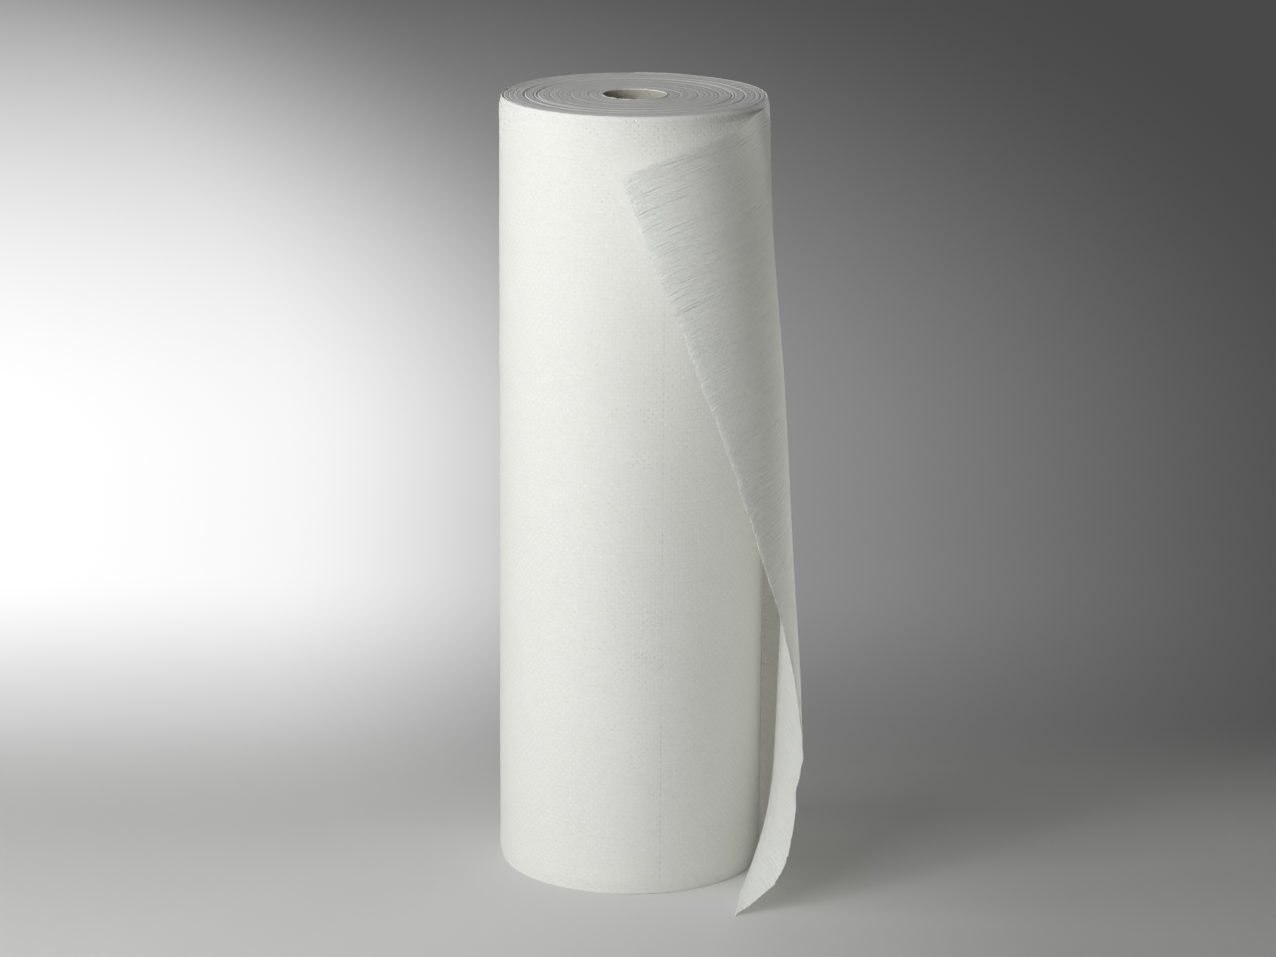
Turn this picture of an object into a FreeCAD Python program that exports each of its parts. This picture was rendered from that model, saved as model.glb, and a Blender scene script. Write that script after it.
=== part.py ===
import FreeCAD, Part
import Sketcher
import math
import os

# Exam table paper roll, standing on its end: a web of embossed tissue wound on a cardboard
# core.  The outermost turn has come loose at the back, runs round the right-hand side and
# stands off the roll in front, where it ends in a torn edge.
# Frame: millimetres, +Z up along the roll's axis, origin on the axis at the bottom end,
# -Y towards the front, +X to the right.

# alias: (value, what it measures)
SIZES = {
    "roll_width": (500, "width of the web, which is the length of the core"),
    "roll_diameter": (170, "outer diameter of the wound paper"),
    "core_bore": (40, "inner diameter of the core"),
    "core_wall": (2, "wall of the core"),
    "sheet_thickness": (0.4, "thickness of the embossed sheet"),
    "sheet_slit": (0.3, "air behind the loose turn where it lies close"),
    "loose_at_bottom": (269, "length of web in the loose turn, along its bottom edge"),
    "loose_at_top": (309, "length of web in the loose turn, along its top edge"),
}

# Grooves between bands of turns on both end faces: (mean radius, width, depth).
END_GROOVES = [
    (25.5, 0.8, 0.4),
    (28.5, 0.8, 0.4),
    (40.0, 1.0, 0.3),
    (53.0, 1.0, 0.5),
    (60.8, 1.2, 0.8),
    (63.0, 0.8, 0.4),
    (69.0, 1.4, 0.9),
    (76.5, 1.0, 0.4),
    (81.0, 0.8, 0.3),
]

# How far the loose turn stands off the roll.  Each row is a place along the turn, as a
# share of its length from where it leaves the roll; each column is a height on the web.
STAND_OFF_HEIGHTS = [0, 40, 100, 200, 340, 500]
STAND_OFFS = {
    0.0: [0, 0, 0, 0, 0, 0],
    0.2: [11, 11, 7, 11, 13, 2],
    0.4: [8, 13, 21, 19, 7, 0],
    0.6: [0, 7, 10, 13, 14, 9],
    0.8: [14, 24, 35, 41, 39, 28],
    1.0: [54, 68, 76, 75, 58, 34],
}

STEPS_ALONG = 36      # steps of the point grid along the loose turn
STEPS_ACROSS = 30     # steps of the point grid across the web
LEAN_PASSES = 4       # passes that fit the sheet's heights to its lean
SPIRAL_STEPS = 48     # points on the outline of the wound paper
OVERSHOOT = 1.0       # how far a cutter reaches past the face it cuts
UP = FreeCAD.Vector(0, 0, 1)


# ---------------------------------------------------------------- spreadsheet

def sheet_rows():
    """Return (alias, value, note) for every driving dimension."""
    rows = [(alias, value, note) for alias, (value, note) in SIZES.items()]
    for number, (radius, width, depth) in enumerate(END_GROOVES, start=1):
        rows.append((f"groove_{number}_radius", radius, "mean radius of an end groove"))
        rows.append((f"groove_{number}_width", width, "width of the groove"))
        rows.append((f"groove_{number}_depth", depth, "depth of the groove"))
    for row, offsets in enumerate(STAND_OFFS.values()):
        for column, offset in enumerate(offsets):
            rows.append((f"stand_off_{row}_{column}", offset, "stand-off of the loose turn"))
    return rows


def add_sizes(doc):
    """Put every driving dimension in one spreadsheet."""
    sheet = doc.addObject("Spreadsheet::Sheet", "Sizes")
    for row, (alias, value, note) in enumerate(sheet_rows(), start=1):
        sheet.set(f"A{row}", alias)
        sheet.set(f"B{row}", str(value))
        sheet.setAlias(f"B{row}", alias)
        sheet.set(f"C{row}", note)
    doc.recompute()
    return sheet


# ---------------------------------------------------------------- sketch helpers

def constrain(sketch, kind, *references, name=None, follows=None):
    """Add a constraint; a named one takes its value from an expression."""
    index = sketch.addConstraint(Sketcher.Constraint(kind, *references))
    if name:
        sketch.renameConstraint(index, name)
        sketch.setExpression(f"Constraints.{name}", follows)


def add_circle(sketch, name, radius):
    """Draw a circle round the sketch's origin with its radius bound to an expression."""
    start_radius = 10
    circle = sketch.addGeometry(Part.Circle(FreeCAD.Vector(), UP, start_radius))
    constrain(sketch, "Coincident", circle, 3, -1, 1)
    constrain(sketch, "Radius", circle, start_radius, name=name, follows=radius)


def add_groove_profile(sketch, number, radius, width, depth, face_height):
    """Draw the rectangle that one end groove is turned from."""
    left, right = radius - width / 2, radius + width / 2
    low, high = face_height - depth, face_height + OVERSHOOT
    corners = [(left, low), (right, low), (right, high), (left, high)]
    points = [FreeCAD.Vector(x, y, 0) for x, y in corners]
    ends = points[1:] + points[:1]
    lines = [sketch.addGeometry(Part.LineSegment(a, b)) for a, b in zip(points, ends)]
    bottom, outer, top, inner = lines
    for line, following in zip(lines, lines[1:] + lines[:1]):
        constrain(sketch, "Coincident", line, 2, following, 1)
    for line in (bottom, top):
        constrain(sketch, "Horizontal", line)
    for line in (inner, outer):
        constrain(sketch, "Vertical", line)
    groove = f"Sizes.groove_{number}"
    constrain(sketch, "DistanceX", -1, 1, bottom, 1, left, name=f"inner_{number}",
              follows=f"{groove}_radius - {groove}_width / 2")
    constrain(sketch, "DistanceX", bottom, 1, bottom, 2, width, name=f"width_{number}",
              follows=f"{groove}_width")
    constrain(sketch, "DistanceY", -1, 1, bottom, 1, low, name=f"floor_{number}",
              follows=f"Sizes.roll_width - {groove}_depth")
    constrain(sketch, "DistanceY", -1, 1, top, 1, high, name=f"clear_{number}",
              follows=f"Sizes.roll_width + {OVERSHOOT}")


# ---------------------------------------------------------------- core

def add_core_tube(doc):
    """Model the cardboard core: a plain tube cut flush with the paper."""
    body = doc.addObject("PartDesign::Body", "CoreTube")
    plane = next(item for item in body.Origin.OriginFeatures if item.Role == "XY_Plane")
    sketch = body.newObject("Sketcher::SketchObject", "CoreSection")
    sketch.AttachmentSupport = (plane, [""])
    sketch.MapMode = "FlatFace"
    add_circle(sketch, "bore_radius", "Sizes.core_bore / 2")
    add_circle(sketch, "outer_radius", "Sizes.core_bore / 2 + Sizes.core_wall")
    pad = body.newObject("PartDesign::Pad", "CoreLength")
    pad.Profile = sketch
    pad.setExpression("Length", "Sizes.roll_width")
    body.Label = "core_tube"
    return body


# ---------------------------------------------------------------- wound paper

def wound_radius(sheet, turned):
    """Radius of the wound paper, turned radians on from where the loose turn leaves it."""
    growth = sheet.sheet_thickness + sheet.sheet_slit
    return sheet.roll_diameter / 2 - growth * (1 - turned / math.tau)


def around(radius, turned, height=0.0):
    """Point at a radius and an angle, which runs from the back round by the right."""
    return FreeCAD.Vector(radius * math.sin(turned), radius * math.cos(turned), height)


def add_wound_block(doc, sheet):
    """Extrude one turn of a spiral, whose step is where the loose turn leaves the roll."""
    angles = [math.tau * step / SPIRAL_STEPS for step in range(SPIRAL_STEPS + 1)]
    points = [around(wound_radius(sheet, angle), angle) for angle in angles]
    spiral = Part.BSplineCurve()
    spiral.interpolate(points)
    step = Part.makeLine(points[-1], points[0])
    bore_radius = sheet.core_bore / 2 + sheet.core_wall
    bore = Part.Wire(Part.makeCircle(bore_radius))
    outline = doc.addObject("Part::Feature", "WoundOutline")
    outline.Shape = Part.Face([Part.Wire([spiral.toShape(), step]), bore])
    outline.Placement = FreeCAD.Placement()
    block = doc.addObject("Part::Extrusion", "WoundBlock")
    block.Base = outline
    block.DirMode = "Custom"
    block.Dir = UP
    block.Solid = True
    block.setExpression("LengthFwd", "Sizes.roll_width")
    return block


def add_groove_cutters(doc):
    """Turn the cutters for the grooves of the top face and mirror them to the bottom."""
    sketch = doc.addObject("Sketcher::SketchObject", "GrooveProfiles")
    sketch.Placement = FreeCAD.Placement(FreeCAD.Vector(), FreeCAD.Rotation(90, 0, 90))
    face_height = SIZES["roll_width"][0]
    for number, (radius, width, depth) in enumerate(END_GROOVES, start=1):
        add_groove_profile(sketch, number, radius, width, depth, face_height)
    top = doc.addObject("Part::Revolution", "TopGrooves")
    top.Source = sketch
    top.Axis = UP
    top.Angle = 360
    top.Solid = True
    bottom = doc.addObject("Part::Mirroring", "BottomGrooves")
    bottom.Source = top
    bottom.Normal = UP
    bottom.setExpression("Base.z", "Sizes.roll_width / 2")
    return top, bottom


def add_wound_paper(doc, sheet):
    """Cut the grooves into both ends of the wound block."""
    solid = add_wound_block(doc, sheet)
    for name, cutter in zip(("TopCut", "WoundPaper"), add_groove_cutters(doc)):
        cut = doc.addObject("Part::Cut", name)
        cut.Base = solid
        cut.Tool = cutter
        solid = cut
    return solid


# ---------------------------------------------------------------- loose turn

def curvatures(places, values, flat_start):
    """Solve the second derivatives of the cubic spline through the given values."""
    gaps = [b - a for a, b in zip(places, places[1:])]
    rises = [(b - a) / gap for a, b, gap in zip(values, values[1:], gaps)]
    middle = [1.0] + [2 * (a + b) for a, b in zip(gaps, gaps[1:])] + [1.0]
    above = [0.0] + gaps[1:]
    below = gaps[:-1] + [0.0]
    right = [0.0] + [6 * (b - a) for a, b in zip(rises, rises[1:])] + [0.0]
    if flat_start:
        middle[0], above[0], right[0] = 2 * gaps[0], gaps[0], 6 * rises[0]
    for index, gap in enumerate(below):
        factor = gap / middle[index]
        middle[index + 1] -= factor * above[index]
        right[index + 1] -= factor * right[index]
    result = [right[-1] / middle[-1]]
    for index in range(len(above) - 1, -1, -1):
        result.insert(0, (right[index] - above[index] * result[0]) / middle[index])
    return result


def spline_through(places, values, wanted, flat_start=False):
    """Read a cubic spline through the given values at the wanted places."""
    bends = curvatures(places, values, flat_start)
    result = []
    for place in wanted:
        index = max(i for i in range(len(places) - 1) if places[i] <= place)
        gap = places[index + 1] - places[index]
        ahead = (place - places[index]) / gap
        back = 1 - ahead
        line = back * values[index] + ahead * values[index + 1]
        bend = (back ** 3 - back) * bends[index] + (ahead ** 3 - ahead) * bends[index + 1]
        result.append(line + bend * gap ** 2 / 6)
    return result


def stand_off_grid(sheet, shares, heights):
    """Spread the stand-offs of the spreadsheet smoothly over the loose turn."""
    across = [
        spline_through(
            STAND_OFF_HEIGHTS,
            [sheet.get(f"stand_off_{row}_{column}") for column in range(len(offsets))],
            heights,
        )
        for row, offsets in enumerate(STAND_OFFS.values())
    ]
    along = [spline_through(list(STAND_OFFS), list(line), shares, flat_start=True)
             for line in zip(*across)]
    return [list(row) for row in zip(*along)]


def slopes(values, step):
    """Slope at each of a row of evenly spaced values."""
    inner = [(after - before) / (2 * step) for before, after in zip(values, values[2:])]
    first = (values[1] - values[0]) / step
    last = (values[-1] - values[-2]) / step
    return [first] + inner + [last]


def slopes_along(grid, steps):
    """Slopes of a grid in its first direction, with a step of its own for each column."""
    columns = [slopes(line, step) for line, step in zip(zip(*grid), steps)]
    return [list(row) for row in zip(*columns)]


def run_up(slopes_given, step, start):
    """Add slopes up from a start value."""
    values = [start]
    for before, after in zip(slopes_given, slopes_given[1:]):
        values.append(values[-1] + (before + after) / 2 * step)
    return values


def rest_of_unit(*parts):
    """What is left of a unit length once its other components are known."""
    return math.sqrt(max(1 - sum(part ** 2 for part in parts), 0.0))


def steps_along_web(sheet):
    """Step along the web at each height: the web is torn askew."""
    growth = (sheet.loose_at_top - sheet.loose_at_bottom) / STEPS_ACROSS
    return [(sheet.loose_at_bottom + growth * j) / STEPS_ALONG for j in range(STEPS_ACROSS + 1)]


def loose_turn_grid(sheet):
    """Points of the loose turn's inner face: threads both ways keep their true length."""
    along = steps_along_web(sheet)
    across = sheet.roll_width / STEPS_ACROSS
    shares = [step / STEPS_ALONG for step in range(STEPS_ALONG + 1)]
    heights = [across * step for step in range(STEPS_ACROSS + 1)]
    gaps = stand_off_grid(sheet, shares, heights)
    gap_along = slopes_along(gaps, along)
    gap_across = [slopes(row, across) for row in gaps]
    radius = sheet.roll_diameter / 2
    angles = [[step * i / radius for step in along] for i in range(len(shares))]
    levels = [heights] * len(shares)
    for _ in range(LEAN_PASSES):
        radii = [[wound_radius(sheet, angle) + sheet.sheet_slit + gap
                  for angle, gap in zip(*rows)] for rows in zip(angles, gaps)]
        lean = slopes_along(levels, along)
        turning = [[rest_of_unit(a, b) / radius for a, b, radius in zip(*rows)]
                   for rows in zip(gap_along, lean, radii)]
        columns = [run_up(line, step, 0.0) for line, step in zip(zip(*turning), along)]
        angles = [list(row) for row in zip(*columns)]
        skew = [[slope * radius for slope, radius in zip(slopes(row, across), row_radii)]
                for row, row_radii in zip(angles, radii)]
        levels = [run_up([rest_of_unit(a, b) for a, b in zip(*rows)], across, 0.0)
                  for rows in zip(gap_across, skew)]
    return [[around(*place) for place in zip(*rows)] for rows in zip(radii, angles, levels)]


def outward(grid, i, j):
    """Outward normal of a grid of points, level along the bottom edge of the web."""
    if i == 0:
        return FreeCAD.Vector(0, 1, 0)
    after = grid[min(i + 1, len(grid) - 1)][j]
    above = grid[i][min(j + 1, len(grid[i]) - 1)]
    along = after - grid[i - 1][j]
    across = above - grid[i][max(j - 1, 0)]
    normal = across.cross(along)
    if j == 0:
        normal.z = 0
    return normal.normalize()


def fitted_face(grid):
    """Face of the smooth surface through a grid of points."""
    surface = Part.BSplineSurface()
    surface.interpolate(grid)
    return surface.toShape()


def rim_faces(inner, outer):
    """Close the gap between each edge of one face and the nearest edge of the other."""
    faces = []
    for edge in inner.Edges:
        middle = edge.CenterOfMass
        nearest = min(outer.Edges, key=lambda one: one.CenterOfMass.distanceToPoint(middle))
        faces += Part.makeLoft([Part.Wire(edge), Part.Wire(nearest)], False, True).Faces
    return faces


def add_loose_turn(doc, sheet):
    """Build the loose turn between its inner and outer faces."""
    inner_grid = loose_turn_grid(sheet)
    outer_grid = [
        [point + outward(inner_grid, i, j) * sheet.sheet_thickness
         for j, point in enumerate(column)]
        for i, column in enumerate(inner_grid)
    ]
    inner = fitted_face(inner_grid)
    outer = fitted_face(outer_grid)
    shell = Part.makeShell([inner, outer] + rim_faces(inner, outer))
    shell.sewShape()
    turn = doc.addObject("Part::Feature", "LooseTurn")
    turn.Shape = Part.makeSolid(shell)
    turn.Placement = FreeCAD.Placement()
    return turn


def add_paper_roll(doc, sheet):
    """Join the loose turn to the wound paper: the web is one piece."""
    roll = doc.addObject("Part::Fuse", "PaperRoll")
    roll.Base = add_wound_paper(doc, sheet)
    roll.Tool = add_loose_turn(doc, sheet)
    roll.Label = "paper_roll"
    return roll


# ---------------------------------------------------------------- checks and export

def check(doc, parts):
    """Stop if any object failed or any part is not one sound solid."""
    for item in doc.Objects:
        if {"Invalid", "Error"} & set(item.State):
            raise RuntimeError(f"{item.Label} failed: {item.State}")
    for part in parts:
        shape = part.Shape
        if shape.isNull() or not shape.isValid() or len(shape.Solids) != 1:
            raise RuntimeError(f"{part.Label} is not one valid solid")
        print(f"{part.Label}: {shape.Volume:.0f} mm3, box {shape.BoundBox}")


def main():
    """Model the roll and write each piece to its own STEP file."""
    doc = FreeCAD.newDocument("ExamTablePaperRoll")
    sheet = add_sizes(doc)
    parts = [add_core_tube(doc), add_paper_roll(doc, sheet)]
    doc.recompute()
    check(doc, parts)
    os.makedirs("parts", exist_ok=True)
    for part in parts:
        part.Shape.exportStep(f"parts/{part.Label}.step")


main()
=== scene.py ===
"""Exam table paper roll: tissue wound on a cardboard core, its outermost turn come loose."""

import logging
import math
from collections.abc import Iterable, Sequence
from dataclasses import dataclass, field
from enum import Enum

import bmesh
import bpy
import numpy as np
from mathutils import Matrix, Vector

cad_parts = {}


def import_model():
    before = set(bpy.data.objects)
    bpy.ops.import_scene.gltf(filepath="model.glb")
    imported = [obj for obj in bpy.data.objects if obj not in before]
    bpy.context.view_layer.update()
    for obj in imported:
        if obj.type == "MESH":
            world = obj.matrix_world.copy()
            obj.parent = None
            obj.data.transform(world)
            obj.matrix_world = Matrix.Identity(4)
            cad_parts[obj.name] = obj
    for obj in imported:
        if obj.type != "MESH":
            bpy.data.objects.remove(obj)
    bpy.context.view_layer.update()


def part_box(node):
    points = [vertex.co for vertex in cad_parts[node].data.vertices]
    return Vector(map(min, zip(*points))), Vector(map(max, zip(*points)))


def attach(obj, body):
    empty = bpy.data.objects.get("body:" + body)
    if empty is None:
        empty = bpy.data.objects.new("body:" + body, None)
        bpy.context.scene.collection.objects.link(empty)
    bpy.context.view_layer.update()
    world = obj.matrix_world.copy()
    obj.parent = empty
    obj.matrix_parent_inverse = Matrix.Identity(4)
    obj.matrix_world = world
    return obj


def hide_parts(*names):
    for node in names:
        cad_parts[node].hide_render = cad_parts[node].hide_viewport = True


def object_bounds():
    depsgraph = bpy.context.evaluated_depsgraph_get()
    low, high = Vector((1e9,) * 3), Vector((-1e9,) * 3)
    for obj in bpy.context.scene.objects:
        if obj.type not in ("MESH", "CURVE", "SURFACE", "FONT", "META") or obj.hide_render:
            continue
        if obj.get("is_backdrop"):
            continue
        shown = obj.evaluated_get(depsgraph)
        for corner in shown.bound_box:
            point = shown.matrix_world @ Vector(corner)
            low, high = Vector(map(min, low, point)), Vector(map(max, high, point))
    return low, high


LOG = logging.getLogger("paper_roll")
MM = 0.001
WELD_GAP, SHORTEST_EDGE = 0.002 * MM, 0.001 * MM
WAVES_EACH = 3
Value = float | tuple | bpy.types.NodeSocket
Colour = tuple[float, float, float]
# An ease from one value to another: where it starts and ends, and the two values.
Ramp = tuple[float, float, float, float]
# Grain of pulp: its size across the web, and how many times longer it is along the web.
Grain = tuple[float, float]


# ---------------------------------------------------------------- smooth numbers

def smooth_step(low: float, high: float, values: np.ndarray) -> np.ndarray:
    """Ease from 0 at low to 1 at high.

    Args:
        low: Where the ease starts.
        high: Where it ends.
        values: The places to read.

    Returns:
        The eased share at each place.
    """
    share = np.clip((np.asarray(values) - low) / (high - low), 0.0, 1.0)
    return share * share * (3 - 2 * share)


def spline(knots: Sequence[float], values: np.ndarray, places: np.ndarray,
           flat_start: bool = False) -> np.ndarray:
    """Read cubic splines through columns of values.

    Args:
        knots: Where the values are given.
        values: One row for each knot, one column for each spline.
        places: Where the splines are read.
        flat_start: Whether the splines start level instead of unbent.

    Returns:
        One row for each place, one column for each spline.
    """
    knots = np.asarray(knots, float)
    values = np.asarray(values, float)
    gaps = np.diff(knots)
    rises = np.diff(values, axis=0) / gaps[:, None]
    system = np.eye(len(knots))
    right = np.zeros_like(values)
    for k in range(1, len(knots) - 1):
        system[k, k - 1:k + 2] = gaps[k - 1], 2 * (gaps[k - 1] + gaps[k]), gaps[k]
        right[k] = 6 * (rises[k] - rises[k - 1])
    if flat_start:
        system[0, :2] = 2 * gaps[0], gaps[0]
        right[0] = 6 * rises[0]
    bends = np.linalg.solve(system, right)
    index = np.clip(np.searchsorted(knots, places, side="right") - 1, 0, len(gaps) - 1)
    ahead = ((places - knots[index]) / gaps[index])[:, None]
    back = 1 - ahead
    bend = (back ** 3 - back) * bends[index] + (ahead ** 3 - ahead) * bends[index + 1]
    return back * values[index] + ahead * values[index + 1] + bend * gaps[index, None] ** 2 / 6


def ripple(places: np.ndarray, lengths: Sequence[float], seed: int) -> np.ndarray:
    """Add up waves of random phase, for an unevenness that repeats nowhere.

    Args:
        places: Where the waves are read.
        lengths: The mean length of each wave.
        seed: Seed of the phases and of the spread of the lengths.

    Returns:
        The sum at each place, between about -1 and 1.
    """
    rng = np.random.default_rng(seed)
    total = np.zeros_like(places, dtype=float)
    for length in lengths:
        for _ in range(WAVES_EACH):
            stretch, phase = rng.uniform(0.7, 1.4), rng.uniform(0, math.tau)
            total += np.sin(math.tau * places / (length * stretch) + phase)
    return total / math.sqrt(1.5 * WAVES_EACH * len(lengths))


# ---------------------------------------------------------------- meshes

@dataclass
class Patch:
    """A grid of points, with where each lies on the web and the finish that covers it."""

    points: np.ndarray
    web: np.ndarray
    finish: int = 0
    flip: bool = False

    def quads(self) -> np.ndarray:
        """Number the corners of the patch's faces.

        Returns:
            One row of four corners for each face.
        """
        rows, columns = self.points.shape[:2]
        number = np.arange(rows * columns).reshape(rows, columns)
        corners = [number[:-1, :-1], number[1:, :-1], number[1:, 1:], number[:-1, 1:]]
        if self.flip:
            corners.reverse()
        return np.stack(corners, axis=-1).reshape(-1, 4)


def patch_mesh(name: str, patches: Iterable[Patch], crease: float = 40.0) -> bpy.types.Object:
    """Join patches into one mesh object with the web's coordinates as its UV map.

    Args:
        name: Name of the object.
        patches: The grids to join.
        crease: Angle in degrees past which an edge stays sharp.

    Returns:
        The object, linked to the scene.
    """
    vertices, faces, finishes, web = [], [], [], []
    count = 0
    for patch in patches:
        quads = patch.quads()
        vertices.append(patch.points.reshape(-1, 3))
        faces.append(quads + count)
        finishes.append(np.full(len(quads), patch.finish))
        web.append(patch.web.reshape(-1, 2)[quads.ravel()])
        count += vertices[-1].shape[0]
    points, corners = np.concatenate(vertices), np.concatenate(faces)
    mesh = bpy.data.meshes.new(name)
    mesh.vertices.add(len(points))
    mesh.vertices.foreach_set("co", points.ravel())
    mesh.loops.add(corners.size)
    mesh.loops.foreach_set("vertex_index", corners.ravel())
    mesh.polygons.add(len(corners))
    mesh.polygons.foreach_set("loop_start", np.arange(len(corners)) * 4)
    mesh.polygons.foreach_set("material_index", np.concatenate(finishes))
    mesh.uv_layers.new(name="web").data.foreach_set("uv", np.concatenate(web).ravel())
    mesh.update(calc_edges=True)
    weld(mesh)
    mesh.validate()
    mesh.shade_smooth()
    mesh.set_sharp_from_angle(angle=math.radians(crease))
    piece = bpy.data.objects.new(name, mesh)
    bpy.context.scene.collection.objects.link(piece)
    return piece


def weld(mesh: bpy.types.Mesh) -> None:
    """Join points of neighbouring patches that lie on each other.

    Args:
        mesh: The mesh to weld.
    """
    work = bmesh.new()
    work.from_mesh(mesh)
    bmesh.ops.remove_doubles(work, verts=work.verts, dist=WELD_GAP)
    bmesh.ops.dissolve_degenerate(work, edges=work.edges, dist=SHORTEST_EDGE)
    work.to_mesh(mesh)
    work.free()


def finish_piece(piece: bpy.types.Object, nodes: Sequence[str],
                 materials: Sequence[bpy.types.Material]) -> None:
    """Dress a piece and tie it to the frame.

    Args:
        piece: The piece.
        nodes: The frame's nodes that it stands for.
        materials: Its materials, in the order of the patches' finishes.
    """
    for material in materials:
        piece.data.materials.append(material)
    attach(piece, "root")
    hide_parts(*nodes)
    LOG.info("%s: %d faces, stands for %s", piece.name, len(piece.data.polygons), list(nodes))


# ---------------------------------------------------------------- shader nodes

class Tree:
    """Adds and links the nodes of one shader tree."""

    def __init__(self, tree: bpy.types.NodeTree) -> None:
        """Work on one tree.

        Args:
            tree: The node tree.
        """
        self.tree = tree

    def feed(self, socket: bpy.types.NodeSocket, value: Value) -> None:
        """Link a socket, or set it where the value is plain.

        Args:
            socket: The input.
            value: An output to link, or a plain value.
        """
        if isinstance(value, bpy.types.NodeSocket):
            self.tree.links.new(value, socket)
        else:
            socket.default_value = value

    def add(self, kind: str, inputs: dict | None = None, **settings: object) -> bpy.types.Node:
        """Add a node.

        Args:
            kind: The node's type.
            inputs: Values or links by input name or number.
            **settings: Properties of the node.

        Returns:
            The node.
        """
        node = self.tree.nodes.new(kind)
        for key, value in settings.items():
            setattr(node, key, value)
        for key, value in (inputs or {}).items():
            self.feed(node.inputs[key], value)
        return node

    def math(self, operation: str, *values: Value) -> bpy.types.NodeSocket:
        """Add a Math node and return its result.

        Args:
            operation: What it works out.
            *values: Its inputs.

        Returns:
            The output socket.
        """
        node = self.add("ShaderNodeMath", dict(enumerate(values)), operation=operation)
        return node.outputs[0]

    def vector(self, operation: str, *values: Value) -> bpy.types.NodeSocket:
        """Add a Vector Math node and return its result.

        Args:
            operation: What it works out.
            *values: Its inputs.

        Returns:
            The vector, or the number where the operation gives one.
        """
        node = self.add("ShaderNodeVectorMath", dict(enumerate(values)), operation=operation)
        return node.outputs["Value" if operation in ("LENGTH", "DISTANCE") else "Vector"]

    def product(self, first: Value, *others: Value) -> bpy.types.NodeSocket:
        """Multiply numbers.

        Args:
            first: One of them.
            *others: The others.

        Returns:
            Their product.
        """
        for other in others:
            first = self.math("MULTIPLY", first, other)
        return first

    def relief(self, *layers: tuple[Value, float]) -> bpy.types.NodeSocket:
        """Add up layers of relief.

        Args:
            *layers: Each layer with its depth.

        Returns:
            The height of all the layers together.
        """
        height: Value = 0.0
        for layer, depth in layers:
            height = self.math("MULTIPLY_ADD", layer, depth, height)
        return height

    def join(self, *parts: Value) -> bpy.types.NodeSocket:
        """Join three numbers into a vector."""
        return self.add("ShaderNodeCombineXYZ", dict(enumerate(parts))).outputs[0]

    def split(self, vector: Value) -> bpy.types.bpy_prop_collection:
        """Split a vector into its three numbers."""
        return self.add("ShaderNodeSeparateXYZ", {0: vector}).outputs

    def web(self) -> bpy.types.NodeSocket:
        """The place on the web, in metres along and across it."""
        return self.add("ShaderNodeUVMap", uv_map="web").outputs[0]

    def mix(self, *inputs: Value) -> bpy.types.NodeSocket:
        """Mix two shaders, by the share of the second, which comes first."""
        return self.add("ShaderNodeMixShader", dict(enumerate(inputs))).outputs[0]

    def ease(self, value: Value, low: Value, high: Value, start: Value = 0.0,
             end: Value = 1.0) -> bpy.types.NodeSocket:
        """Ease a value smoothly between two places.

        Args:
            value: What is read.
            low: Where the ease starts.
            high: Where it ends.
            start: The result up to low.
            end: The result from high.

        Returns:
            The eased number.
        """
        node = self.add("ShaderNodeMapRange", {0: value, 1: low, 2: high, 3: start, 4: end},
                        interpolation_type="SMOOTHSTEP")
        return node.outputs[0]

    def noise(self, place: Value, scale: float, detail: float = 2.0,
              rough: float = 0.5) -> bpy.types.NodeSocket:
        """Add a noise texture and return its value.

        Args:
            place: Where it is read.
            scale: Its scale.
            detail: Its octaves.
            rough: How much the finer octaves count.

        Returns:
            The value, about 0.5 on average.
        """
        node = self.add("ShaderNodeTexNoise", {"Vector": place, "Scale": scale,
                                               "Detail": detail, "Roughness": rough})
        return node.outputs[0]

    def shade(self, colour: Colour | bpy.types.NodeSocket, factor: Value
              ) -> bpy.types.NodeSocket:
        """Multiply a colour by a number.

        Args:
            colour: The colour.
            factor: The number.

        Returns:
            The darker or lighter colour.
        """
        node = self.add("ShaderNodeVectorMath", {0: colour, "Scale": factor},
                        operation="SCALE")
        return node.outputs["Vector"]


class Effect(Enum):
    """The effects that more than one finish uses, each built once as a node group."""

    DIMPLES = "embossed dimples"
    CREPE = "crepe streaks"
    PERFORATION = "perforated line"
    FIBRES = "paper fibres"


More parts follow.
